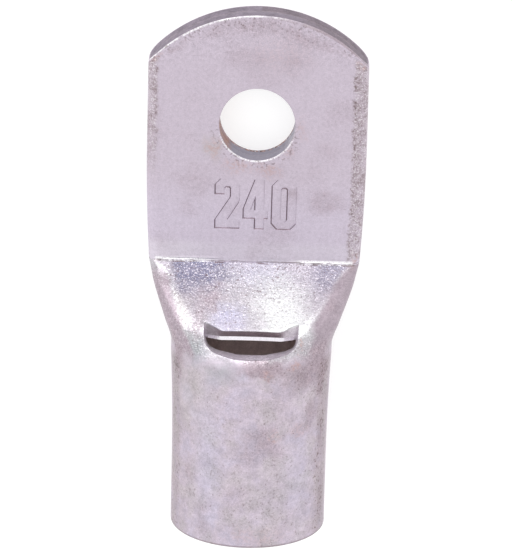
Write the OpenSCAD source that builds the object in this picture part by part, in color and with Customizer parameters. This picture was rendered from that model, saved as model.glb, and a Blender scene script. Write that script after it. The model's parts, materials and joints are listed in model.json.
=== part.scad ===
// Tubular cable lug: a copper tube, round at one end for the conductor and pressed flat at the other
// into a palm with a stud hole. The palm lies on its back, with its mounting face down at Z = 0.
// The origin is the centre of the stud hole on the mounting face. +Y points to the palm's tip.

/* [Barrel] */
// Outside diameter of the tube
barrel_od = 26.5; // [22:0.5:32]
// Thickness of the tube's wall
wall = 2.75; // [2:0.05:3.5]
// Distance from the stud hole to the open end of the barrel
barrel_reach = 69.5; // [64:0.5:95]
// Depth of the round bore, from the open end
bore_depth = 30; // [15:0.5:30]

/* [Palm] */
// Width of the palm
palm_w = 37.6; // [33:0.2:44]
// Distance from the stud hole to the palm's tip
tip_reach = 19.6; // [15:0.2:26]
// Radius of the rounded tip
tip_r = 24.5; // [23:0.5:40]
// Diameter of the stud hole
stud_hole_d = 13; // [6:0.5:17]
// Distance from the stud hole to the crease where the palm ends
crease_reach = 25; // [20:0.5:28]

/* [Neck] */
// Angle of the front wall where it climbs from the palm
slope = 60; // [56:0.5:64]
// How much wider than round the tube still is where the neck ends
oval = 0.5; // [0.1:0.1:1]

/* [Sight window] */
// Width of the window across the tube
window_w = 15.4; // [10:0.2:17]
// Distance from the crease to the window's edge in the barrel
rim_reach = 10.9; // [10:0.1:12]
// Distance from the crease to the window's edge in the sloping wall
lip_reach = 7.8; // [6.5:0.1:8.2]
// Radius of the window's corners in the barrel
rim_corner_r = 2.3; // [0.5:0.1:3]

/* [Hidden] */
$fn = 96;

// Two walls of the tube lie pressed together in the palm.
palm_t = 2 * wall;
barrel_r = barrel_od / 2;
bore_r = barrel_r - wall;
climb = barrel_od - palm_t;

// Shares of a section's height that its rounded corners take. The press flattens the front wall,
// while the back keeps more of the tube's roundness.
front_corner = 0.32;
back_corner = 1 - front_corner;
palm_corner_r = front_corner * palm_t;

// Places along the lug, all measured from the stud hole.
crease_y = -crease_reach;
lip_y = crease_y - lip_reach;
rim_y = crease_y - rim_reach;
neck_end_y = crease_y - 13;
oval_end_y = neck_end_y - 20;
end_y = -barrel_reach;
bore_stop_y = end_y + bore_depth;
// The palm's edges start to draw in just behind the stud hole's centre.
draw_in_y = -4;
// How far each edge has drawn in at the crease.
pinch = 0.7;
// Length behind the crease over which the sides draw in to the barrel.
narrowing = 11;

// The front wall rises straight to its shoulder and then gently on to the barrel's full height.
shoulder_sag = 1.3;
shoulder_round = 2.5;
crown_run = 11;
top_reach = climb / tan(slope);
// The cavity's roof bends this much later than the outside, so that the wall keeps its thickness.
roof_lag = wall * tan(slope / 2);
// Height of the slit that the cavity ends in, between the pressed walls.
slit_h = 0.3;

// Lip of the window: its straight part, and how far its ends run up the slope.
lip_flat_w = 0.83 * window_w;
lip_ear = 1.8;

// Steps of the mesh around half of a section: each flat face, and the fold between them.
flat_steps = 7;
fold_steps = 12;
fold_start = 0.38;
// Clear overrun of a cutter past what it cuts.
over = 1;
// The neck's skins stay this far inside the round barrel and the round bore where they run into them.
seam = 0.05;

function mix(a, b, share) = a + (b - a) * share;
function clamp01(v) = min(1, max(0, v));
function ease(v) = let (u = clamp01(v)) u * u * (3 - 2 * u);
function span(a, b, n) = [for (i = [0:n - 1]) mix(a, b, i / n)];

// Height of the front wall above the palm's face.
function front_rise(y) =
    let (
        run = crease_y - y,
        line = run * tan(slope),
        crown = climb - shoulder_sag * pow(1 - clamp01((run - top_reach + 2) / crown_run), 2),
        near = max(shoulder_round - abs(line - crown), 0)
    )
    run <= 0 ? 0 : min(line, crown) - near * near / (4 * shoulder_round);

// Share of the way along the stretch where the tube turns from slightly oval to round.
function oval_share(y) = clamp01((neck_end_y - y) / (neck_end_y - oval_end_y));

// Half of the width across the folds.
function half_width(y) =
    let (
        palm_share = clamp01((draw_in_y - y) / (draw_in_y - crease_y)),
        neck_share = clamp01((crease_y - y) / narrowing)
    )
    y > crease_y ? palm_w / 2 - pinch * palm_share * palm_share
    : y > neck_end_y ?
        mix(palm_w / 2 - pinch, barrel_r + oval, (neck_share + ease(neck_share)) / 2)
    : barrel_r + oval * pow(1 - oval_share(y), 2);

// A section is [half width, lowest z, height, radius of its back corners, radius of its front ones].
// Its fold is squashed flat in the palm, and opens into a full round behind the crease.
function section(y, half_w, floor_z, height, round_r) =
    let (
        opened = ease((crease_y - y) / 3),
        back_r = min(mix(front_corner, back_corner, opened) * height, round_r),
        front_r = mix(front_corner * height, height - back_r, opened)
    )
    [half_w, floor_z, height, back_r, front_r];

function outer_section(y) =
    let (
        dip = seam * oval_share(y),
        height = palm_t + front_rise(y) - 2 * dip
    )
    section(y, half_width(y) - dip, dip, height, barrel_r - dip);

// The cavity keeps one wall inside the outer skin, and meets the round bore where it stops.
function cavity_section(y) =
    let (
        merge = ease((bore_stop_y + 3 - y) / 3),
        height = max(slit_h, front_rise(y + roof_lag)),
        half_w = half_width(y) - wall,
        end_r = bore_r - seam
    )
    section(y, mix(half_w, end_r, merge), wall + seam * merge, mix(height, 2 * end_r, merge), end_r);

// Point at share k of the way around half of a section, from its back's centre to its front's.
function section_point(k, s) =
    let (
        half_w = s[0],
        floor_z = s[1],
        height = s[2],
        back_r = s[3],
        front_r = s[4],
        back_flat = half_w - back_r,
        side = height - back_r - front_r,
        d = k * (2 * half_w + height - (2 - PI / 2) * (back_r + front_r)),
        d_back = d - back_flat,
        d_side = d_back - back_r * PI / 2,
        d_front = d_side - side,
        d_flat = d_front - front_r * PI / 2,
        back_turn = d_back / back_r * 180 / PI,
        front_turn = d_front / front_r * 180 / PI
    )
    d_back <= 0 ? [d, floor_z]
    : d_side <= 0 ?
        [back_flat + back_r * sin(back_turn), floor_z + back_r * (1 - cos(back_turn))]
    : d_front <= 0 ? [half_w, floor_z + back_r + d_side]
    : d_flat <= 0 ?
        [half_w - front_r * (1 - cos(front_turn)), floor_z + height - front_r * (1 - sin(front_turn))]
    : [half_w - front_r - d_flat, floor_z + height];

// Positions around half of a section, closer together at the fold.
half_ks = concat(
    span(0, fold_start, flat_steps),
    span(fold_start, 1 - fold_start, fold_steps),
    span(1 - fold_start, 1, flat_steps),
    [1]
);
last_k = len(half_ks) - 1;

// A whole closed section at y, as 3-D points.
function ring(y, s) = [
    for (i = [0:2 * last_k - 1])
        let (
            right = i <= last_k,
            p = section_point(half_ks[right ? i : 2 * last_k - i], s)
        )
        [right ? p[0] : -p[0], y, p[1]]
];

// A closed skin over rings, which run towards -Y. Each end is a fan of triangles around a point
// halfway up the section.
module skin(rings) {
    n = 2 * last_k;
    m = len(rings);
    hubs = [for (end = [rings[0], rings[m - 1]]) (end[0] + end[last_k]) / 2];
    walls = [
        for (j = [0:m - 2], i = [0:n - 1])
            let (a = j * n + i, b = j * n + (i + 1) % n)
            each [[a, a + n, b], [b, a + n, b + n]]
    ];
    first = [for (i = [0:n - 1]) [m * n, i, (i + 1) % n]];
    last = [for (i = [0:n - 1]) [m * n + 1, (m - 1) * n + (i + 1) % n, (m - 1) * n + i]];
    polyhedron(concat([for (r = rings) each r], hubs), concat(first, walls, last), convexity = 6);
}

module neck() {
    stations = concat(
        span(draw_in_y, crease_y, 6),
        span(crease_y, lip_y, 5),
        span(lip_y, rim_y, 3),
        span(rim_y, neck_end_y, 3),
        span(neck_end_y, oval_end_y, 7),
        [oval_end_y, oval_end_y - over]
    );
    skin([for (y = stations) ring(y, outer_section(y))]);
}

// The hollow of the neck, from where the two walls part to the end of the round bore.
module neck_cavity() {
    parting_y = crease_y - roof_lag;
    stations = concat(span(parting_y, bore_stop_y, 12), [bore_stop_y, bore_stop_y - over]);
    skin([for (y = stations) ring(y, cavity_section(y))]);
}

module along_y(from_y, to_y) {
    translate([0, to_y, 0]) rotate([90, 0, 0]) linear_extrude(to_y - from_y) children();
}

module barrel() {
    along_y(end_y, oval_end_y) translate([0, barrel_r]) circle(barrel_r);
}

module bore(from_y, to_y) {
    along_y(from_y, to_y) translate([0, barrel_r]) circle(bore_r);
}

// The palm's section: a flat bar whose corners are the tube's folds.
module palm_profile() {
    corner_x = palm_w / 2 - palm_corner_r;
    translate([-corner_x, 0]) square([2 * corner_x, palm_t]);
    translate([-palm_w / 2, palm_corner_r]) square([palm_w, palm_t - 2 * palm_corner_r]);
    for (side = [-1, 1], z = [palm_corner_r, palm_t - palm_corner_r])
        translate([side * corner_x, z]) circle(palm_corner_r);
}

module palm() {
    intersection() {
        along_y(draw_in_y, tip_reach) palm_profile();
        translate([0, 0, -over]) {
            translate([0, tip_reach - tip_r, 0]) cylinder(r = tip_r, h = palm_t + 2 * over);
            translate([-palm_w / 2 - over, draw_in_y - over, 0])
                cube([palm_w + 2 * over, tip_reach - tip_r - draw_in_y + over, palm_t + 2 * over]);
        }
    }
}

// All that lies beyond the lip, whose edge stands square to the sloping wall.
module beyond_lip() {
    lip_run = lip_reach / cos(slope);
    far = 2 * barrel_od;
    translate([0, crease_y, palm_t]) rotate([-slope, 0, 0]) translate([0, 0, -barrel_od])
        linear_extrude(2 * barrel_od) mirror([0, 1]) polygon([
            [-window_w / 2, lip_run - lip_ear],
            [-lip_flat_w / 2, lip_run],
            [lip_flat_w / 2, lip_run],
            [window_w / 2, lip_run - lip_ear],
            [window_w / 2, far],
            [-window_w / 2, far]
        ]);
}

// The window's outline seen from above, with rounded corners in the barrel.
module window_outline() {
    corner_x = window_w / 2 - rim_corner_r;
    for (side = [-1, 1]) translate([side * corner_x, rim_y + rim_corner_r]) circle(rim_corner_r);
    translate([-corner_x, rim_y]) square([2 * corner_x, rim_reach]);
    translate([-window_w / 2, rim_y + rim_corner_r]) square([window_w, rim_reach - rim_corner_r]);
}

module sight_window() {
    intersection() {
        beyond_lip();
        translate([0, 0, wall + bore_r]) linear_extrude(barrel_od) window_outline();
    }
}

module stud_hole() {
    translate([0, 0, -over]) cylinder(d = stud_hole_d, h = palm_t + 2 * over);
}

module cable_lug() {
    color("#cdc1cf") difference() {
        union() {
            palm();
            neck();
            barrel();
        }
        bore(end_y - over, bore_stop_y);
        neck_cavity();
        sight_window();
        stud_hole();
    }
}

cable_lug();
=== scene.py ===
import json
import math

import bmesh
import bpy
from mathutils import Matrix, Vector


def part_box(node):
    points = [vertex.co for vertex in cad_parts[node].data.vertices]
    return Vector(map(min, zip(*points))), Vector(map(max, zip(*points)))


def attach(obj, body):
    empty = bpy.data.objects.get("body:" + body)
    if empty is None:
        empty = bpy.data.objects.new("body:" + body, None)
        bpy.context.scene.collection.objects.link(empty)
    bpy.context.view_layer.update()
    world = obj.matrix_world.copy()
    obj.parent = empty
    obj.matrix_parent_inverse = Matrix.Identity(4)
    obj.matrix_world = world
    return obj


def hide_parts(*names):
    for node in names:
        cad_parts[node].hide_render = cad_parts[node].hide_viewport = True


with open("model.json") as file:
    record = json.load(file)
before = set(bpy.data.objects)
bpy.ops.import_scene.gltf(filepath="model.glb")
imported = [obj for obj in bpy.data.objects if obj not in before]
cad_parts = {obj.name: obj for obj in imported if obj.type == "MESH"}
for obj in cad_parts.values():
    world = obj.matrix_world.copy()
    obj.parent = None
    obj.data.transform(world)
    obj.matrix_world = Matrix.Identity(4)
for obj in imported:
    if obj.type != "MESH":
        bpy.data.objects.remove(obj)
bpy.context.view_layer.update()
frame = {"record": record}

# Camera
# The lug lies on its back and is seen from above, a little from the palm's side.
# A long lens far away keeps the barrel's end almost as large as the palm.
VIEW_TARGET = Vector((0.00045, -0.02665, 0.008))
VIEW_DISTANCE = 1.2
VIEW_TILT = math.radians(20.7)
VIEW_TURN = math.radians(0.7)
VIEW_ROLL = math.radians(1.4)
LENS_MM = 455.6

towards_camera = Vector((
    math.sin(VIEW_TURN) * math.cos(VIEW_TILT),
    math.sin(VIEW_TILT),
    math.cos(VIEW_TURN) * math.cos(VIEW_TILT),
)).normalized()
image_up = (Vector((0, 1, 0)) - towards_camera * towards_camera.y).normalized()
image_right = image_up.cross(towards_camera)
roll = Matrix.Rotation(VIEW_ROLL, 3, towards_camera)
axes = Matrix((roll @ image_right, roll @ image_up, towards_camera)).transposed()
camera = bpy.data.objects.new("camera", bpy.data.cameras.new("camera"))
camera.data.lens = LENS_MM
camera.data.sensor_width = 36
camera.data.clip_end = 10
camera.matrix_world = Matrix.Translation(VIEW_TARGET + towards_camera * VIEW_DISTANCE) @ axes.to_4x4()
bpy.context.collection.objects.link(camera)
bpy.context.scene.camera = camera

# Blank
# The lug starts as a length of drawn copper tube. It is laid out flat here as a sheet, slit along the
# back, so that the holes are punched and the number is stamped before the press shapes it.
MM = 0.001

# Sizes that the solids and their mounts give, in millimetres.
mounts = {mount["name"]: mount for mount in frame["record"]["mounts"]}
low, high = (tuple(c / MM for c in corner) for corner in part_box("cable_lug"))
barrel_r = high[2] / 2
bore_r = mounts["barrel_bore"]["dims"]["r_mm"]
stud_r = mounts["stud_hole"]["dims"]["r_mm"]
wall = barrel_r - bore_r
palm_t = 2 * wall
palm_half_w = high[0]
tip_y = high[1]
mouth_y = low[1]

# The crease, and the window behind it with its lip above, its bowed rim below and its raised ends.
CREASE_Y = -25.0
LIP_Y = -32.64
RIM_Y = -35.9
RIM_BOW = 0.014
RIM_CORNER_R = 1.9
BOW_END_X = 14
BOW_END_Y = -42
WINDOW_X = 8.3
LIP_FLAT_X = 4.7
LIP_EAR = 1.0
LIP_EAR_END = 1.6
LIP_PULL = 3

# The square that the lines are bent in round the stud hole, and the plate that takes the stamp.
STUD_REACH = 9.0
STAMP_LOW_Y = -20.5
STAMP_HALF_W = 8.6

# The round of the palm's folded edges, as a share of its thickness, and half the way round the palm.
FRONT_CORNER = 0.32
fold_r = FRONT_CORNER * palm_t
half_round = 2 * (palm_half_w - fold_r) + math.pi * fold_r + palm_t - 2 * fold_r


def lines(places, steps):
    """Places of the sheet's lines: each stretch between two places has its own number of steps."""
    out = []
    for a, b, n in zip(places, places[1:], steps):
        out += [a + (b - a) * i / n for i in range(n)]
    return out + [places[-1]]


def mix(a, b, share):
    return a + (b - a) * share


def clamp01(v):
    return min(1.0, max(0.0, v))


def ease(v):
    """0 up to 0 and 1 from 1 on, with a soft change between them."""
    u = clamp01(v)
    return u * u * (3 - 2 * u)


def rounded(x, y, r, reach):
    """Pulls a square of half side r into a circle, and leaves what is further off than reach."""
    square = max(abs(x), abs(y))
    if not 0 < square < reach:
        return x, y
    length = math.hypot(x, y)
    pull = clamp01((square - r) / (reach - r))
    new = mix(r, length, pull) if square > r else r * square / r
    return x * new / length, y * new / length


def ear(s):
    """How far the window's upper edge runs up the slope at its two ends."""
    out = abs(s)
    if out > WINDOW_X:
        return LIP_EAR * clamp01((WINDOW_X + LIP_EAR_END - out) / LIP_EAR_END)
    return LIP_EAR * ease((out - LIP_FLAT_X) / (WINDOW_X - LIP_FLAT_X))


def punched(s, y):
    """Where a crossing of the sheet's lines goes, so that the lines follow the punched outlines."""
    side = math.copysign(1, s)
    if max(abs(y), abs(s)) < STUD_REACH:
        return rounded(s, y, stud_r, STUD_REACH)
    if max(abs(y), half_round - abs(s)) < STUD_REACH:
        x, y = rounded(half_round - abs(s), y, stud_r, STUD_REACH)
        return side * (half_round - x), y
    out = abs(s)
    corner_x, corner_y = out - WINDOW_X + RIM_CORNER_R, RIM_Y + RIM_CORNER_R - y
    if corner_x > 0 and corner_y > 0:
        x, down = rounded(corner_x, corner_y, RIM_CORNER_R, 1.9 * RIM_CORNER_R)
        out, y = out + x - corner_x, RIM_Y + RIM_CORNER_R - down
    if y < RIM_Y:
        near = clamp01((y - BOW_END_Y) / (RIM_Y - BOW_END_Y))
    else:
        near = clamp01((LIP_Y - y) / (LIP_Y - RIM_Y))
    y += RIM_BOW * min(out, WINDOW_X) ** 2 * near * ease((BOW_END_X - out) / (BOW_END_X - WINDOW_X))
    if LIP_Y - 1e-4 < y < LIP_Y + LIP_PULL:
        y += ear(s) * (1 - (y - LIP_Y) / LIP_PULL)
    return side * out, y


around_half = lines(
    (0, LIP_FLAT_X, stud_r, WINDOW_X, STAMP_HALF_W, STUD_REACH, 16, half_round / 2, half_round - 16,
     half_round - STUD_REACH, half_round - stud_r, half_round),
    (8, 4, 4, 2, 1, 11, 10, 10, 11, 4, 11),
)
around = [-s for s in reversed(around_half[1:])] + around_half
along = lines(
    (mouth_y, -58, -45, -38, RIM_Y, RIM_Y + RIM_CORNER_R, LIP_Y, LIP_Y + LIP_PULL, CREASE_Y - 0.6,
     CREASE_Y + 1.5, STAMP_LOW_Y, -STUD_REACH, -stud_r, stud_r, STUD_REACH, tip_y),
    (12, 14, 12, 4, 5, 3, 6, 10, 28, 4, 14, 4, 20, 4, 14),
)
blank = bmesh.new()
sheet_place = blank.verts.layers.float_vector.new("sheet")
sunk = blank.verts.layers.float.new("sunk")
bmesh.ops.create_grid(blank, x_segments=len(around) - 1, y_segments=len(along) - 1, size=0.5)
for v in blank.verts:
    v.co.x = around[round((v.co.x + 0.5) * (len(around) - 1))]
    v.co.y = along[round((v.co.y + 0.5) * (len(along) - 1))]

holes = []
for f in blank.faces:
    c = f.calc_center_median()
    in_window = abs(c.x) < WINDOW_X and RIM_Y < c.y < LIP_Y
    in_stud_hole = abs(c.y) < stud_r and min(abs(c.x), half_round - abs(c.x)) < stud_r
    if in_window or in_stud_hole:
        holes.append(f)
bmesh.ops.delete(blank, geom=holes, context="FACES")
for v in blank.verts:
    v.co.x, v.co.y = punched(v.co.x, v.co.y)

sheet = bmesh.ops.extrude_face_region(blank, geom=blank.faces[:], use_keep_orig=True)
inner = [g for g in sheet["geom"] if isinstance(g, bmesh.types.BMVert)]
bmesh.ops.translate(blank, vec=(0, 0, -wall), verts=inner)
bmesh.ops.recalc_face_normals(blank, faces=blank.faces[:])
slit = [f for f in blank.faces if all(abs(v.co.x) > half_round - 1e-4 for v in f.verts)]
bmesh.ops.delete(blank, geom=slit, context="FACES")


def rim_edges(lowest_y, highest_y):
    """Edges between a skin and a cut face whose middles lie between two places along the tube."""
    out = []
    for e in blank.edges:
        if len(e.link_faces) == 2:
            tilts = sorted(abs(f.normal.z) for f in e.link_faces)
            middle_y = (e.verts[0].co.y + e.verts[1].co.y) / 2
            if tilts[0] < 0.5 < tilts[1] and lowest_y < middle_y < highest_y:
                out.append(e)
    return out


MOUTH_ROUND = 0.4
WINDOW_ROUND = 0.12
PALM_ROUND = 0.2
WINDOW_LOW_Y = -45
WINDOW_HIGH_Y = -28
for radius, lowest_y, highest_y in (
    (MOUTH_ROUND, mouth_y - 1, mouth_y + 1),
    (WINDOW_ROUND, WINDOW_LOW_Y, WINDOW_HIGH_Y),
    (PALM_ROUND, -STUD_REACH, tip_y + 1),
):
    bmesh.ops.bevel(
        blank, geom=rim_edges(lowest_y, highest_y), offset=radius, offset_type="OFFSET", segments=3,
        profile=0.5, affect="EDGES", clamp_overlap=True, loop_slide=True, material=-1,
    )
LEDGE_AT = 0.68
uprights = [
    e for e in blank.edges
    if abs(e.verts[0].co.z - e.verts[1].co.z) > 0.5 * wall
    and WINDOW_LOW_Y < e.verts[0].co.y < WINDOW_HIGH_Y
]
ledge = bmesh.ops.subdivide_edges(blank, edges=uprights, cuts=1, use_grid_fill=True)
for g in ledge["geom_inner"]:
    if isinstance(g, bmesh.types.BMVert):
        g.co.z = -LEDGE_AT * wall

# Stamp
# The palm carries the conductor's size as a plain number, struck into the copper with a steel stamp
# of bold block figures, whose left flanks bite widest.
STAMP_TEXT = "240"
STAMP_Y = -14.45
STAMP_DEPTH = 0.3
STAMP_FLANK = 0.13
STAMP_SHIFT = (0.11, 0.05)
FIGURE_W = 4.4
FIGURE_H = 9.1
FIGURE_GAP = 0.5
FIGURES = {
    "2": (
        ((0, 0), (4.4, 0), (4.4, 1.7), (2.35, 1.7), (4.2, 4.7), (4.4, 5.5), (4.4, 8.0), (3.4, 9.1),
         (1.0, 9.1), (0, 8.0), (0, 6.2), (1.75, 6.2), (1.75, 7.3), (1.95, 7.5), (2.45, 7.5), (2.65, 7.3),
         (2.65, 5.8), (0, 1.6)),
    ),
    "4": (
        ((2.0, 0), (3.75, 0), (3.75, 1.9), (4.4, 1.9), (4.4, 3.5), (3.75, 3.5), (3.75, 9.1),
         (1.95, 9.1), (0, 3.7), (0, 1.9), (2.0, 1.9)),
        ((1.45, 3.5), (2.0, 3.5), (2.0, 5.2)),
    ),
    "0": (
        ((1.0, 0), (3.4, 0), (4.4, 1.1), (4.4, 8.0), (3.4, 9.1), (1.0, 9.1), (0, 8.0), (0, 1.1)),
        ((1.75, 1.8), (1.95, 1.6), (2.45, 1.6), (2.65, 1.8), (2.65, 7.3), (2.45, 7.5), (1.95, 7.5),
         (1.75, 7.3)),
    ),
}

plate = [
    f for f in blank.faces
    if f.normal.z > 0.9 and all(
        abs(v.co.x) < STAMP_HALF_W + 1e-4 and STAMP_LOW_Y - 1e-4 < v.co.y < -STUD_REACH + 1e-4
        for v in f.verts
    )
]
in_plate = set(plate)
plate_rim = [e for e in blank.edges if sum(f in in_plate for f in e.link_faces) == 1]
bmesh.ops.delete(blank, geom=plate, context="FACES")
left_x = -(len(STAMP_TEXT) * (FIGURE_W + FIGURE_GAP) - FIGURE_GAP) / 2
outlines, figures = [], []
for i, figure in enumerate(STAMP_TEXT):
    corner = Vector((left_x + i * (FIGURE_W + FIGURE_GAP), STAMP_Y - FIGURE_H / 2, 0))
    strokes = []
    for loop in FIGURES[figure]:
        points = [blank.verts.new(corner + Vector((x, y, 0))) for x, y in loop]
        strokes += [blank.edges.new(pair) for pair in zip(points, points[1:] + points[:1])]
    filled = bmesh.ops.triangle_fill(
        blank, use_beauty=True, use_dissolve=False, edges=strokes, normal=(0, 0, 1),
    )
    figures += [g for g in filled["geom"] if isinstance(g, bmesh.types.BMFace)]
    outlines += strokes
filled = bmesh.ops.triangle_fill(
    blank, use_beauty=True, use_dissolve=False, edges=plate_rim + outlines, normal=(0, 0, 1),
)
flat_faces = [g for g in filled["geom"] if isinstance(g, bmesh.types.BMFace)] + figures
bmesh.ops.reverse_faces(blank, faces=[f for f in flat_faces if f.normal.z < 0])
bmesh.ops.inset_region(
    blank, faces=figures, thickness=STAMP_FLANK, depth=-STAMP_DEPTH, use_even_offset=True,
    use_boundary=True,
)
figure_verts = {v for f in figures for v in f.verts}
bmesh.ops.translate(blank, vec=(*STAMP_SHIFT, 0), verts=list(figure_verts))

# Press
# A die closes on the tube. Its flat part squeezes two walls together as the palm, its edge leaves a
# sharp crease across, and its sloping face draws the front wall up to the barrel, which stays round.
# The front wall's slope and shoulder.
SLOPE_ANGLE = math.radians(60)
SHOULDER_SAG = 1.3
SHOULDER_ROUND = 2.5
CROWN_LEAD = 2
CROWN_RUN = 11.0
slope = math.tan(SLOPE_ANGLE)
climb = 2 * barrel_r - palm_t

# The width along the lug, and the tip.
DRAW_IN_Y = -4.0
PINCH = 0.7
NARROWING = 11.0
NECK_RUN = 13
OVAL_RUN = 20
OVAL = 0.5
TIP_R = 24.5
TIP_CORNER_R = 2.0
neck_end_y = CREASE_Y - NECK_RUN
oval_end_y = neck_end_y - OVAL_RUN

# The slope's hollow, its swell and its turned shoulders, and the burr along the crease.
DISH = 0.9
SWELL = 0.7
OPENING_RUN = 3
SHOULDER_TURN = math.radians(22)
TURN_RUN = 1.2
TURN_END_Y = -41
TURN_END_RUN = 6
CREASE_LIP = 0.17

# The inner skin, and how far the window's cut faces lean and step.
LINING_STEP = 1.2
SLIT_H = 0.04
LIP_BACK = 1.8
LIP_FADE_X = 2
LIP_FADE_Y = 4
LEDGE_DROP = 0.4
WALL_LEAN = 1.0625
LEAN_END_X = 16
LEAN_END_Y = -43
LEAN_TOP_RUN = 3


def front_rise(y):
    """How far the front wall is above the palm's front: a straight slope up to a soft shoulder."""
    run = CREASE_Y - y
    if run <= 0:
        return 0.0
    line = run * slope
    crown = climb - SHOULDER_SAG * (1 - clamp01((run - climb / slope + CROWN_LEAD) / CROWN_RUN)) ** 2
    near = max(SHOULDER_ROUND - abs(line - crown), 0)
    return min(line, crown) - near * near / (4 * SHOULDER_ROUND)


def half_width(y):
    """Half the width: the palm pinched at the crease, the narrowing neck, and the barrel's last oval."""
    if y > CREASE_Y:
        return palm_half_w - PINCH * clamp01((DRAW_IN_Y - y) / (DRAW_IN_Y - CREASE_Y)) ** 2
    if y > neck_end_y:
        share = clamp01((CREASE_Y - y) / NARROWING)
        return mix(palm_half_w - PINCH, barrel_r + OVAL, (share + ease(share)) / 2)
    return barrel_r + OVAL * (1 - clamp01((neck_end_y - y) / (neck_end_y - oval_end_y))) ** 2


def drawn(y):
    """How much of the slope's swell and hollow there is at y: none at the crease and at the crown."""
    along_slope = (CREASE_Y - y) / (CREASE_Y - RIM_Y)
    return math.sin(math.pi * clamp01(along_slope)) ** 2 if 0 < along_slope < 1 else 0.0


def skin(s, y):
    """The outer skin after the press, at s around it from the front's middle and y along the tube."""
    side = math.copysign(1, s)
    s = abs(s)
    if s > half_round:
        s, side = 2 * half_round - s, -side
    half_w, height = half_width(y), palm_t + front_rise(y) + SWELL * drawn(y)
    opened = ease((CREASE_Y - y) / OPENING_RUN)
    back_r = min(mix(FRONT_CORNER, 1 - FRONT_CORNER, opened) * height, barrel_r)
    front_r = mix(FRONT_CORNER * height, height - back_r, opened)
    flat, quarter = half_w - front_r, math.pi / 2
    turned = SHOULDER_TURN * ease((CREASE_Y - y) / TURN_RUN) * ease((y - TURN_END_Y) / TURN_END_RUN)
    cos, sin = math.cos(turned), math.sin(turned)
    facet, bend_r = front_r * (cos + sin - 1) / (1 - sin), front_r * (cos - sin) / (1 - sin)
    bend = facet + bend_r * (quarter - turned)
    total = 2 * half_w + height - 2 * front_r - (2 - quarter) * back_r + bend
    d = s / half_round * total
    if d < flat:
        return Vector((side * d, y, height - DISH * drawn(y) * (1 - (d / flat) ** 2)))
    d -= flat
    if d < facet:
        return Vector((side * (flat + d * cos), y, height - d * sin))
    if d < bend:
        turn = turned + (d - facet) / bend_r
        x = half_w - bend_r * (1 - math.sin(turn))
        return Vector((side * x, y, height - front_r + bend_r * math.cos(turn)))
    d -= bend
    if d < height - back_r - front_r:
        return Vector((side * half_w, y, height - front_r - d))
    d -= height - back_r - front_r
    if d < back_r * quarter:
        turn = d / back_r
        x, z = half_w - back_r * (1 - math.cos(turn)), back_r * (1 - math.sin(turn))
        return Vector((side * x, y, z))
    return Vector((side * (half_w - back_r - d + back_r * quarter), y, 0))


def lining(s, y):
    """The inner skin, one wall inside the outer one. In the palm it closes to a hairline slit."""
    across = skin(s + LINING_STEP, y) - skin(s - LINING_STEP, y)
    out_x, out_z = -across.z / across.length, across.x / across.length
    steep = (front_rise(y - 0.05) - front_rise(y + 0.05)) / 0.1
    at_rim = clamp01((LIP_Y - y) / (LIP_Y - RIM_Y))
    thick = wall * math.hypot(1, steep * (1 - at_rim)) if out_z > 0 else wall
    p = skin(s, y) - Vector((out_x * wall, 0, out_z * thick))
    half_in = half_width(y) - wall
    p.x = min(half_in, max(-half_in, p.x))
    if abs(s) < half_round / 2:
        roof = palm_t + front_rise(y) + SWELL * drawn(y) - wall + SLIT_H / 2
        p.z = min(max(p.z, wall + SLIT_H / 2), roof)
    else:
        p.z = min(p.z, max(wall, (palm_t + front_rise(y)) / 2) - SLIT_H / 2)
        p.z = max(p.z, wall - SLIT_H / 2)
    return p


def straight_down(s, y):
    """How much further round the lining's place straight below the skin at s is, close to the window."""
    near = min(
        (LEAN_END_X - abs(s)) / (LEAN_END_X - WINDOW_X),
        (y - LEAN_END_Y) / (RIM_Y - LEAN_END_Y),
        (CREASE_Y - LEAN_TOP_RUN - y) / LEAN_TOP_RUN,
    )
    if near <= 0:
        return 0.0
    turned = (skin(s, y) - lining(s, y)).x
    return WALL_LEAN * turned * clamp01(near) * mix(0.2, 1, ease((y - RIM_Y - 0.1) / 1.5))


def lip_share(s, y):
    """1 on the window's upper edge, fading up the slope, down its sides and beyond its ends."""
    edge = LIP_Y + ear(s)
    fade = 1 - (y - edge) / LIP_FADE_Y if y > edge else (y - RIM_Y) / (edge - RIM_Y)
    return clamp01(fade) * clamp01((WINDOW_X + LIP_FADE_X - abs(s)) / LIP_FADE_X)


def tip_line(x):
    """The tip's outline: an arc, with small rounds where it meets the sides."""
    middle_y, corner_x = tip_y - TIP_R, palm_half_w - TIP_CORNER_R
    if x < corner_x * TIP_R / (TIP_R - TIP_CORNER_R):
        return middle_y + math.sqrt(TIP_R ** 2 - x ** 2)
    corner_y = middle_y + math.sqrt((TIP_R - TIP_CORNER_R) ** 2 - corner_x ** 2)
    return corner_y + math.sqrt(max(TIP_CORNER_R ** 2 - (x - corner_x) ** 2, 0))


def crease_burr(s, y):
    """Height of the burr that the die's edge raises along the crease, uneven, and double on the left."""
    uneven = 1 + 0.3 * math.sin(3.1 * s) + 0.3 * math.sin(7.3 * s + 1) + 0.2 * math.sin(17 * s)
    low = mix(0.2, 1, ease((abs(s + 1) - 8) / 3)) * math.exp(-(((y - CREASE_Y - 0.2) / 0.13) ** 2))
    high = 0.45 * ease((-4.5 - s) / 4) * math.exp(-(((y - CREASE_Y - 0.62) / 0.18) ** 2))
    return CREASE_LIP * uneven * (low + high) * clamp01((palm_half_w - 1.1 - abs(s)) / 1.2)


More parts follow.
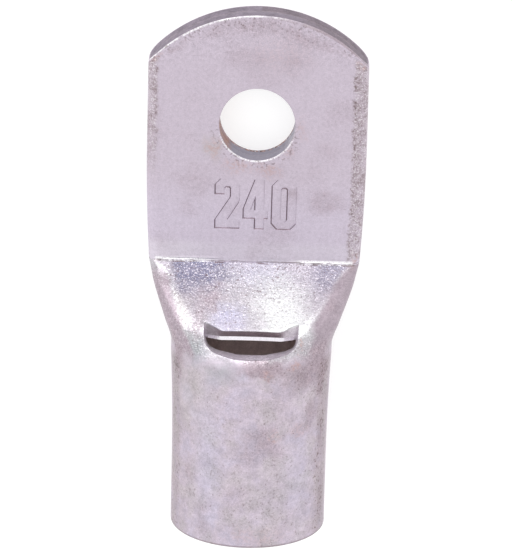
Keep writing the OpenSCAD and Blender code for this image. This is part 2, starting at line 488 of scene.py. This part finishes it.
def pressed(s, y, depth):
    """Where a point of the sheet ends up: s round it, y along it, depth from 0 outside to 1 inside."""
    in_neck = y < CREASE_Y
    back = (LIP_BACK + ear(s)) * lip_share(s, y) if in_neck and abs(s) < WINDOW_X + LIP_FADE_X else 0
    lean = straight_down(s, y - back) if in_neck and depth > 0.02 else 0
    level = ear(s) * lip_share(s, y) * min(1.0, depth / LEDGE_AT) if back else 0
    p = skin(s, y - level).lerp(lining(s + lean, y - back), depth)
    if in_neck and back:
        on_ledge = min(depth / LEDGE_AT, (1 - depth) / (1 - LEDGE_AT))
        p.z -= LEDGE_DROP * lip_share(s, y) ** 4 * clamp01(on_ledge)
    if abs(s) < palm_half_w:
        p.z += crease_burr(s, y) * clamp01(1 - 4 * depth)
    if y > STUD_REACH:
        p.y = mix(STUD_REACH, tip_line(abs(p.x)), (y - STUD_REACH) / (tip_y - STUD_REACH))
    return p


for v in blank.verts:
    in_stamp = v in figure_verts
    v[sheet_place] = (v.co.x, v.co.y, 0.0 if in_stamp else -v.co.z / wall)
    v[sunk] = clamp01(-v.co.z / STAMP_DEPTH) if in_stamp else 0.0
    v.co = pressed(v.co.x, v.co.y, -v.co.z / wall)

bmesh.ops.remove_doubles(blank, verts=blank.verts[:], dist=2e-4)
bmesh.ops.dissolve_degenerate(blank, dist=1e-5, edges=blank.edges[:])
bmesh.ops.scale(blank, vec=(MM, MM, MM), verts=blank.verts[:])
lug_mesh = bpy.data.meshes.new("tinned_lug")
blank.to_mesh(lug_mesh)
blank.free()
lug_mesh.shade_smooth()
lug_mesh.set_sharp_from_angle(angle=math.radians(28))
lug = bpy.data.objects.new("tinned_lug", lug_mesh)
bpy.context.collection.objects.link(lug)
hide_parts("cable_lug")
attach(lug, "root")

# Tin
# The copper has a thin coat of tin. The palm and barrel are satin with grey-brown stains and pits, the
# neck is burnished with a fine orange peel, the cut faces are dull, and copper shows at worn edges. Some
# light and shade is painted in as well: highlights and glints, and shade on the slope, the barrel's sides,
# the crease, the stamped figures and the window's cut faces.
tin = bpy.data.materials.new("tin")
tin.use_nodes = True
lug_mesh.materials.append(tin)


class Shade:
    """One output of a node of the tin. Sums and products of shades add Math nodes."""
    tree = tin.node_tree

    def __init__(self, socket):
        self.socket = socket

    @classmethod
    def node(cls, kind, settings, inputs, output=0):
        made = cls.tree.nodes.new(kind)
        for name, value in settings.items():
            setattr(made, name, value)
        for name, value in inputs.items():
            if isinstance(value, Shade):
                cls.tree.links.new(value.socket, made.inputs[name])
            else:
                made.inputs[name].default_value = value
        return cls(made.outputs[output])

    def math(self, operation, other, swapped=False):
        pair = {0: other, 1: self} if swapped else {0: self, 1: other}
        return Shade.node("ShaderNodeMath", {"operation": operation}, pair)

    def __add__(self, other):
        return self.math("ADD", other)

    def __radd__(self, other):
        return self.math("ADD", other, True)

    def __sub__(self, other):
        return self.math("SUBTRACT", other)

    def __rsub__(self, other):
        return self.math("SUBTRACT", other, True)

    def __mul__(self, other):
        return self.math("MULTIPLY", other)

    def __rmul__(self, other):
        return self.math("MULTIPLY", other, True)


def rise(value, start, end):
    """0 up to start and 1 from end on, with a soft change between them."""
    return Shade.node(
        "ShaderNodeMapRange", {"interpolation_type": "SMOOTHSTEP", "clamp": True},
        {"Value": value, "From Min": start, "From Max": end},
    )


def between(value, start, end, soft):
    """1 from start to end, and 0 from soft outside them on."""
    return rise(value, start - soft, start) * (1 - rise(value, end, end + soft))


def vector_maths(operation, inputs, output="Vector"):
    return Shade.node("ShaderNodeVectorMath", {"operation": operation}, inputs, output)


def noise(at, size, detail, roughness=0.55):
    """Noise with lumps of about the given size."""
    return Shade.node(
        "ShaderNodeTexNoise", {},
        {"Vector": at, "Scale": 1 / size, "Detail": detail, "Roughness": roughness},
    )


def blend(share, a, b):
    """Colour a where share is 0, and colour b where it is 1."""
    return Shade.node("ShaderNodeMix", {"data_type": "RGBA"}, {0: share, 6: a, 7: b}, 2)


# Places on the lug in millimetres: in space, and on the flat sheet that it was pressed from.
place = vector_maths("MULTIPLY", {0: Shade.node("ShaderNodeTexCoord", {}, {}, "Object"), 1: (1000,) * 3})
across_at = Shade.node("ShaderNodeSeparateXYZ", {}, {0: place}, "X")
from_hole = vector_maths("LENGTH", {0: vector_maths("MULTIPLY", {0: place, 1: (1, 1, 0)})}, "Value")
sheet_at = Shade.node("ShaderNodeAttribute", {"attribute_name": "sheet"}, {}, "Vector")
round_at, along_at, depth_at = (
    Shade.node("ShaderNodeSeparateXYZ", {}, {0: sheet_at}, axis) for axis in ("X", "Y", "Z")
)
round_squared = round_at * round_at
sunk_at = Shade.node("ShaderNodeAttribute", {"attribute_name": "sunk"}, {}, "Fac")

# Noises from coarse to fine. Each has its mean at 0.5, so the uneven ones stray about 0.
cloud = noise(place, 7.0, 4.0)
haze = noise(place, 4.0, 5.0, 0.6)
mottle = noise(place, 1.8, 4.0, 0.6)
fleck = noise(place, 0.6, 3.0, 0.6)
peel = noise(place, 0.42, 2.0, 0.5)
speck = noise(place, 0.4, 2.0, 0.5)
sparkle = noise(place, 0.25, 2.0, 0.5)
grain = noise(place, 0.22, 2.0, 0.7)
streak = noise(vector_maths("MULTIPLY", {0: sheet_at, 1: (1.6, 0.09, 0)}), 1.0, 3.0)
dashes = noise(vector_maths("MULTIPLY", {0: sheet_at, 1: (0.5, 3, 0)}), 1.0, 2.0)
uneven_cloud, uneven_haze, uneven_mottle, uneven_fleck = (v - 0.5 for v in (cloud, haze, mottle, fleck))

WANDER = 3.6
wander = Shade.node("ShaderNodeTexNoise", {}, {"Vector": place, "Scale": 0.5, "Detail": 5.0}, "Color")
wandering = vector_maths("MULTIPLY_ADD", {0: wander, 1: (WANDER, WANDER, 0), 2: sheet_at})


def spots(rows):
    """Soft spots with wandering outlines. A row has a spot's place round and along the sheet, its half
    sizes round and along, and its strength."""
    total = 0
    for s, y, half_s, half_y, strength in rows:
        away = vector_maths("MULTIPLY_ADD", {
            0: wandering,
            1: (1 / half_s, 1 / half_y, 0),
            2: (-(s + WANDER / 2) / half_s, -(y + WANDER / 2) / half_y, 0),
        })
        total = total + Shade.node(
            "ShaderNodeMapRange", {"interpolation_type": "SMOOTHSTEP", "clamp": True},
            {"Value": vector_maths("LENGTH", {0: away}, "Value"),
             "From Min": 0.1, "From Max": 1.2, "To Min": strength, "To Max": 0.0},
        )
    return total


# Zones of the skin: the barrel, the burnished neck with its two sides, and the places on its slope.
on_skin = 1 - rise(depth_at, 0.05, 0.12)
on_front = 1 - rise(round_squared, 340, 400)
on_barrel = rise(along_at, RIM_Y - 0.1, RIM_Y - 3.1)
down = CREASE_Y - along_at
wavy = 1.2 * uneven_mottle + 2.2 * uneven_cloud
neck = between(along_at, RIM_Y - 1.3, CREASE_Y - 0.1, 0.1)
neck = neck * (1 - rise(along_at + wavy, RIM_Y + 0.5, RIM_Y - 1.1))
right_side = rise(round_at + 0.9 * down.math("MINIMUM", 6.5) + wavy, 15.8, 17.4)
left_side = rise(0 - (round_at - 0.56 * down + wavy), 15.9, 17.0)
slope_round = round_at + 1.6 * wavy
slope_middle = rise(slope_round, -7.5, -2.5) * (1 - 0.75 * rise(slope_round, 9.0, 13.0))
slope_top = 1 - rise(down + wavy, 1.6, 4.6)
shine = neck * (1 - right_side) * (1 - 0.6 * left_side)

# Painted light on the neck's slope: a near white painted highlight, and painted shade in dark blue towards
# its top. Tints of the tin: lavender there and down the barrel, teal at the window's left end, olive here
# and there.
slope_top_shade = (
    neck * slope_top * (1 - 0.85 * slope_middle) * (1 - 0.2 * rise(round_at, 4, 8))
    * (1 - right_side) * rise(round_at - 0.4 * down, -15.6, -13.6)
)
slope_highlight = spots(((5.2, -29.6, 6.4, 4.4, 1.0), (6.5, -32.0, 5.0, 2.6, 0.5), (0.5, -26.4, 6.5, 1.6, 0.3)))
lavender = spots((
    (-4.2, -31.4, 4.2, 2.2, 1.2), (-7.0, -54.0, 3.2, 16.0, 0.45), (9.6, -56.0, 4.0, 12.0, 0.3),
    (1.0, -26.2, 7.0, 1.6, 0.7), (-9.6, -35.6, 2.4, 2.6, 0.4),
))
teal = spots(((-5.0, -38.0, 4.0, 2.6, 0.7), (-9.9, -34.6, 2.2, 3.2, 1.2), (-14.5, -27.6, 2.2, 2.6, 0.4)))
olive = spots((
    (-11.0, -42.0, 6.5, 8.0, 0.6), (-7.5, -4.4, 2.4, 3.0, 0.6), (-9.2, -26.6, 2.6, 1.6, 0.7),
    (-12.6, -30.4, 2.2, 4.8, 0.8),
))

# Brown stains on the barrel, on the palm and on the neck, and reddish ones where copper shows through.
brown = spots((
    (2.6, -37.0, 5.6, 2.0, 1.2), (12.6, -38.0, 6.4, 4.8, 1.0), (-14.6, -38.0, 2.2, 5.0, 0.9),
    (2.8, -48.2, 4.2, 2.6, 0.5), (1.4, -50.6, 4.4, 3.0, 0.45), (0.0, -53.6, 3.4, 2.8, 0.4),
    (4.4, -51.6, 3.0, 2.4, 0.4), (-1.6, -60.1, 3.0, 3.4, 0.3), (5.0, -58.5, 3.6, 4.0, 0.15),
    (-11.2, -57.2, 2.0, 2.6, 0.5), (-8.2, -63.0, 2.4, 2.4, 0.45), (-8.0, -66.6, 2.0, 2.2, 0.5),
    (8.4, -64.0, 3.0, 3.0, 0.2), (12.0, -45.8, 2.6, 3.6, 0.7), (9.6, -48.7, 3.4, 2.8, 0.45),
    (14.6, -41.9, 1.8, 3.0, 0.8), (13.4, -36.0, 1.8, 2.2, 0.7), (15.6, -50.4, 1.6, 5.0, 0.7),
    (7.1, -39.6, 4.5, 3.0, 0.45), (16.4, -63.0, 1.8, 6.0, 0.6), (4.0, -43.0, 6.5, 4.0, 0.25),
    (0.5, 17.8, 9.0, 2.6, 0.55), (-7.9, 17.2, 2.6, 1.6, 0.35), (9.5, 16.5, 6.0, 2.4, 0.5),
    (-14.0, 17.0, 2.2, 1.6, 0.6), (-4.8, 11.9, 3.4, 2.6, 0.3), (0.3, 12.4, 3.6, 2.6, 0.3),
    (6.5, 12.6, 5.0, 4.6, 0.35), (11.9, -13.8, 5.2, 3.2, 0.55), (6.3, -12.4, 1.6, 1.4, 0.5),
    (11.7, -4.2, 3.2, 2.6, 0.3), (-12.4, -9.9, 4.0, 1.6, 0.35), (-11.7, -15.4, 2.8, 2.2, 0.35),
    (-3.9, -15.4, 3.6, 2.6, 0.3), (-10.4, 4.0, 4.0, 6.0, 0.15),
    (-7.6, -29.2, 4.0, 2.8, 0.75), (-9.6, -32.4, 1.8, 2.4, 0.6), (-3.5, -32.0, 4.0, 1.0, 0.4),
    (13.9, -29.2, 1.6, 1.4, 0.6), (-15.2, -33.6, 1.6, 3.0, 0.5),
))
stained = rise(brown * (0.35 + 1.3 * mottle) + 0.35 * uneven_fleck * brown, 0.0, 1.1)
stained = stained + 0.25 * rise(cloud, 0.48, 0.72) * (1 - neck)
red = spots((
    (8.2, -36.9, 1.5, 1.2, 0.9), (3.0, -38.2, 1.4, 1.2, 0.8), (4.8, -49.2, 1.6, 1.4, 0.8),
    (1.0, -67.6, 8.0, 2.6, 0.3), (17.6, 15.2, 1.6, 2.8, 0.9), (-17.6, 17.0, 1.2, 2.2, 0.7),
    (-7.4, -4.4, 1.6, 2.6, 0.8), (-3.2, -7.6, 2.8, 1.6, 0.7), (2.0, -8.2, 3.0, 1.5, 0.7),
    (5.9, -5.0, 1.4, 2.0, 0.5), (7.6, -0.8, 1.0, 2.4, 0.4), (3.5, 13.0, 7.0, 4.0, 0.2),
    (8.9, -34.2, 0.5, 1.6, 1.0), (17.6, -24.0, 0.9, 1.8, 0.8), (9.4, -48.6, 2.6, 2.0, 0.3),
))

# Worn strips along the palm's two folded edges, and the dark seam beside the right one.
ragged = 1.3 * uneven_mottle + 1.0 * uneven_fleck
right_strip = rise(round_at + ragged, 16.1, 16.8) * (1 - rise(round_at, 21, 24))
left_strip = rise(ragged - round_at, 16.8, 17.5) * (1 - rise(0 - round_at, 21, 24))
strip = right_strip + left_strip * rise(along_at, -14, 2)
strip = strip * rise(along_at, CREASE_Y, CREASE_Y + 2) * rise(along_at, 19.0, 16.0)
seam = between(round_at + 0.9 * uneven_mottle, 16.3, 16.7, 0.3)
seam = seam * rise(along_at, CREASE_Y, CREASE_Y + 2) * rise(along_at, 18.5, 15.0)

SATIN_TIN = (0.556, 0.488, 0.566, 1)
LOW_PALM_TIN = (0.575, 0.512, 0.605, 1)
BARREL_TIN = (0.565, 0.492, 0.568, 1)
NECK_TIN = (0.490, 0.463, 0.500, 1)
HIGHLIGHT_WHITE = (0.95, 0.94, 0.96, 1)
SLOPE_HIGHLIGHT = (0.72, 0.735, 0.73, 1)
SLOPE_SHADE_BLUE = (0.225, 0.225, 0.305, 1)
LAVENDER_TIN = (0.52, 0.51, 0.65, 1)
TEAL_TIN = (0.35, 0.36, 0.38, 1)
OLIVE_TIN = (0.475, 0.445, 0.44, 1)
SIDE_TIN = (0.395, 0.328, 0.375, 1)
STAIN_AND_SHADE = (0.40, 0.325, 0.365, 1)
COPPER = (0.47, 0.31, 0.29, 1)
SPECK_AND_SHADE = (0.20, 0.15, 0.155, 1)

# A painted sheen: white laid on the palm in a band just above the crease, more on the left.
low_shine = on_front * between(along_at, CREASE_Y, CREASE_Y + 2.5, 2.0)
low_shine = low_shine * (0.10 + 0.08 * rise(0 - round_at, 6, 14))
colour = blend(rise(along_at, -40, -34) + rise(along_at, -50, -62), BARREL_TIN, SATIN_TIN)
low_palm = rise(along_at, -8, -18) * rise(along_at, CREASE_Y - 1, CREASE_Y + 0.1)
colour = blend(low_palm, colour, LOW_PALM_TIN)
colour = blend(low_shine, colour, HIGHLIGHT_WHITE)
colour = blend(neck, colour, NECK_TIN)
# Painted shade: the barrel darkens towards its sides.
colour = blend(on_barrel * rise(round_squared, 60, 260) * 0.5, colour, STAIN_AND_SHADE)
colour = blend(on_barrel * rise(haze, 0.42, 0.68) * 0.42, colour, OLIVE_TIN)
colour = blend(on_barrel * rise(haze, 0.52, 0.30) * 0.30, colour, LAVENDER_TIN)
colour = blend(olive * 0.7, colour, OLIVE_TIN)
colour = blend(lavender * 0.7, colour, LAVENDER_TIN)
# Painted highlight on the slope, and painted shade towards its top.
colour = blend(slope_highlight * 0.95, colour, SLOPE_HIGHLIGHT)
colour = blend(slope_top_shade * (1.5 - 1.1 * mottle), colour, SLOPE_SHADE_BLUE)
colour = blend(teal * mottle * 1.5, colour, TEAL_TIN)
colour = blend(neck * right_side * 0.95, colour, SIDE_TIN)
colour = blend(neck * left_side * rise(down, 0.5, 2.5) * (0.6 + mottle), colour, SIDE_TIN)
colour = blend(stained * 0.85, colour, STAIN_AND_SHADE)
colour = blend(strip * (1.4 * mottle - 0.1), colour, STAIN_AND_SHADE)
colour = blend(red * rise(fleck, 0.38, 0.6) * 0.75, colour, COPPER)

# Painted highlights: glints on the neck's orange peel, the crease's burr, the strips, and the edges of the
# tip and hole. The right half of the tip's edge is stained instead.
crest = between(along_at, CREASE_Y - 0.05, CREASE_Y + 0.58, 0.1) * rise(round_squared, 30, 90) * on_skin
crest = crest * (1 - rise(round_squared, 17.3 ** 2, 17.8 ** 2))
near_tip = along_at + 0.0014 * round_squared
tip_edge = on_front * rise(near_tip, tip_y - 0.33, tip_y - 0.17) * (1 - rise(depth_at, 0.04, 0.07))
tip_edge = tip_edge * rise(round_at, 12.0, -4.0)
hole_edge = between(from_hole, stud_r - 0.2, stud_r + 0.22, 0.06) * on_skin
hole_edge = hole_edge * rise(along_at, -1.0, -4.0) * rise(along_at, -8, -7)
glints = (
    (0.55 + 0.45 * slope_top) * shine * rise(sparkle, 0.53, 0.66)
    + crest * rise(sparkle, 0.30, 0.48)
    + tip_edge * rise(mottle, 0.36, 0.56)
    + strip * rise(sparkle, 0.5, 0.62) * 0.5
    + hole_edge * rise(sparkle + 0.3 * uneven_mottle, 0.38, 0.52)
)
edge_stain = on_front * rise(near_tip, tip_y - 0.59, tip_y - 0.24) * on_skin * rise(round_at, 0.0, 7.0)
colour = blend(edge_stain * rise(mottle, 0.3, 0.5) * 0.8, colour, STAIN_AND_SHADE)
colour = blend(glints * 0.8, colour, HIGHLIGHT_WHITE)

# Dark pits: on the neck, in the stains, along the strips, round the mouth, all over the barrel, round the
# hole and under the tip. Painted shade down the barrel's flanks, with pits in it, and in dashes along the
# crease.
strip_specks = rise(0.6 * speck + 0.4 * grain + 0.5 * uneven_mottle, 0.50, 0.61)
mouth = rise(0 - along_at, -mouth_y - 0.55, -mouth_y - 0.3) * on_skin
flank = between(round_at + 1.2 * wavy, 14.8, 17.6, 1.8) + 0.8 * between(0 - round_at, 15.2, 17.8, 1.4)
ring = between(from_hole, stud_r, stud_r + 0.9, 1.2) * rise(along_at, 1.5, -3.0) * rise(along_at, -14, -13)
at_tip = rise(along_at, 14.5, 19.0) * on_skin * rise(mottle, 0.35, 0.55)
dash = between(along_at, CREASE_Y + 0.14, CREASE_Y + 0.22, 0.05)
dash = dash + between(along_at, CREASE_Y - 0.16, CREASE_Y - 0.04, 0.05)
pits_and_shade = (
    (0.65 + 0.35 * slope_top) * shine * rise(speck, 0.58, 0.67) * 0.6
    + (0.2 + 0.8 * stained + 0.5 * left_side * neck) * rise(speck, 0.64, 0.73) * 0.55
    + (seam * 0.4 + strip * 0.7) * strip_specks * 0.75
    + mouth * rise(mottle, 0.3, 0.5) * 0.6
    + flank * on_barrel * (0.2 + 0.6 * rise(speck, 0.54, 0.68))
    + on_barrel * rise(speck + 0.6 * uneven_haze, 0.62, 0.74) * 0.35
    + ring * rise(speck + 0.4 * uneven_mottle, 0.55, 0.66) * 0.5
    + at_tip * rise(speck + 0.5 * uneven_mottle, 0.56, 0.68) * 0.5
    + dash * rise(dashes, 0.50, 0.56) * on_skin * 0.8
)
colour = blend(pits_and_shade, colour, SPECK_AND_SHADE)

# Cut faces: the window's lip with its ledge, ears and rim, the hole with its copper and back burr, the
# open end, and the tip.
SHADOWED_LIP_CUT = (0.35, 0.28, 0.31, 1)
LEFT_EAR_CUT_SHADE = (0.42, 0.38, 0.41, 1)
RIGHT_EAR_CUT_LIT = (0.80, 0.76, 0.80, 1)
LEDGE_CUT_HIGHLIGHT = (0.82, 0.79, 0.84, 1)
RIM_CUT = (0.62, 0.57, 0.625, 1)
HOLE_CUT = (0.375, 0.355, 0.42, 1)
HOLE_SHINE = (0.58, 0.56, 0.62, 1)
HOLE_COPPER = (0.44, 0.27, 0.23, 1)
MOUTH_CUT = (0.46, 0.43, 0.49, 1)
TIP_CUT = (0.28, 0.24, 0.29, 1)
BORE = (0.53, 0.45, 0.445, 1)

in_window = between(along_at, -38.5, -30.0, 0.1)
at_lip = rise(along_at, -34.6, -34.4) * (1 - rise(round_squared, 7.6 ** 2, 8.2 ** 2) * 0.8)
# Painted light and shade on the lip's dull cut face: painted shadow along it, painted half shade at its
# left end, painted light at its right end, and a painted highlight on its ledge.
lip_cut = blend(rise(0 - round_at, 4.4, 7.6), SHADOWED_LIP_CUT, LEFT_EAR_CUT_SHADE)
lip_cut = blend(rise(round_at, 4.4, 7.0), lip_cut, RIGHT_EAR_CUT_LIT)
lip_cut = blend(rise(depth_at, 0.64, 0.71), lip_cut, LEDGE_CUT_HIGHLIGHT)
window_cut = blend(at_lip, RIM_CUT, lip_cut)

hole_left = rise(0 - across_at, 4.0, 5.2) * (0.65 + 0.35 * rise(mottle, 0.36, 0.6))
back_burr = rise(depth_at, 0.44, 0.28) * rise(round_squared, 400, 500)
burr = blend(rise(fleck, 0.46, 0.54), SPECK_AND_SHADE, HOLE_COPPER)
# Painted highlights: white glints on the burr.
burr = blend(rise(speck, 0.58, 0.64), burr, HIGHLIGHT_WHITE)
hole_cut = blend(rise(across_at, 4.0, 6.0) * 0.6, HOLE_CUT, HOLE_SHINE)
hole_cut = blend(hole_left, hole_cut, HOLE_COPPER)
hole_cut = blend(back_burr * rise(mottle + 0.5 * uneven_fleck, 0.38, 0.50), hole_cut, burr)

past_hole = rise(along_at, 10, 12)
end_cut = blend(past_hole, MOUTH_CUT, TIP_CUT)
end_cut = blend(1 - rise(from_hole, stud_r + 1.5, stud_r + 3.5), end_cut, hole_cut)
end_cut = blend(past_hole * rise(round_at + 6 * uneven_haze, 4, 11) * 0.3, end_cut, SPECK_AND_SHADE)
colour = blend(1 - on_skin, colour, blend(in_window, end_cut, window_cut))
colour = blend(rise(depth_at, 0.985, 0.999), colour, BORE)
# Painted shade: the stamped figures' flanks are darkened.
colour = blend(4 * sunk_at * (1 - sunk_at) * 0.85, colour, SPECK_AND_SHADE)

# Fine unevenness of the tone all over, but little of it on the window's smooth ledge.
on_ledge = in_window * at_lip * between(depth_at, 0.70, 0.97, 0.03)
coarse = 0.6 + 0.8 * stained + 0.5 * rise(along_at, 10, 17) + 0.25 * (1 - rise(along_at, -40, -36))
tone = 1 + (0.16 * uneven_mottle + 0.5 * uneven_fleck + 0.7 * (grain - 0.5)) * (coarse + 0.6 * neck)
tone = tone + 0.07 * (streak - 0.5) + on_barrel * (0.3 * uneven_cloud + 0.45 * uneven_mottle)
tone = tone + (1 - on_skin) * rise(along_at, 15, 18) * (0.5 * uneven_haze + 0.8 * uneven_mottle)
tone = tone - 0.75 * on_ledge * (tone - 1)
colour = vector_maths("SCALE", {0: colour, "Scale": tone})

roughness = 0.44 - 0.10 * neck + 0.14 * stained + 0.12 * uneven_mottle + 0.2 * (1 - on_skin)
roughness = roughness - 0.15 * glints - 0.3 * on_ledge
orange_peel = 1.1 * peel + 0.3 * mottle
satin = 0.4 * fleck + 0.3 * grain + 0.6 * mottle
surface = shine * orange_peel + (1 - 0.5 * neck) * satin
bump = Shade.node(
    "ShaderNodeBump", {}, {"Height": surface, "Strength": 0.55, "Distance": 0.00006}, "Normal",
)
bsdf = Shade.tree.nodes["Principled BSDF"]
bsdf.inputs["Metallic"].default_value = 1.0
for name, value in (("Base Color", colour), ("Roughness", roughness), ("Normal", bump)):
    Shade.tree.links.new(value.socket, bsdf.inputs[name])

# Floor and lights
# The lug lies on a sheet of white paper under an even white sky. A wide soft light stands low beyond the
# tip, and a weak one to the left.
FLOOR_HALF_SIDE = 1.2
LIGHTS_AIM = Vector((0, -0.025, 0))

floor_mesh = bpy.data.meshes.new("floor")
floor = bpy.data.objects.new("floor", floor_mesh)
square = bmesh.new()
bmesh.ops.create_grid(square, x_segments=1, y_segments=1, size=FLOOR_HALF_SIDE)
square.to_mesh(floor_mesh)
square.free()
bpy.context.collection.objects.link(floor)
paper = bpy.data.materials.new("paper")
paper.use_nodes = True
for name, value in (
    ("Base Color", (0.5, 0.5, 0.5, 1)),
    ("Roughness", 0.9),
    ("Specular IOR Level", 0.0),
    ("Emission Color", (1, 1, 1, 1)),
    ("Emission Strength", 0.62),
):
    paper.node_tree.nodes["Principled BSDF"].inputs[name].default_value = value
floor_mesh.materials.append(paper)

bpy.context.scene.view_settings.view_transform = "Standard"
world = bpy.data.worlds.new("world")
bpy.context.scene.world = world
world.use_nodes = True
sky = world.node_tree.nodes["Background"]
sky.inputs["Color"].default_value = (1.0, 1.0, 1.0, 1)
sky.inputs["Strength"].default_value = 1.12


def softbox(name, azimuth, elevation, distance, width, height, radiance):
    """A soft light that faces the lug, azimuth degrees from +X towards +Y and elevation degrees up."""
    a, e = math.radians(azimuth), math.radians(elevation)
    away = Vector((math.cos(a) * math.cos(e), math.sin(a) * math.cos(e), math.sin(e)))
    lamp = bpy.data.lights.new(name, "AREA")
    lamp.shape = "RECTANGLE"
    lamp.size = width
    lamp.size_y = height
    lamp.energy = radiance * math.pi * width * height
    light = bpy.data.objects.new(name, lamp)
    turn = away.to_track_quat("Z", "Y").to_matrix().to_4x4()
    light.matrix_world = Matrix.Translation(away * distance + LIGHTS_AIM) @ turn
    bpy.context.collection.objects.link(light)


softbox("key", 101, 10, 0.7, 0.66, 0.34, 2.2)
softbox("left_fill", 175, 32, 0.7, 0.5, 0.3, 0.25)
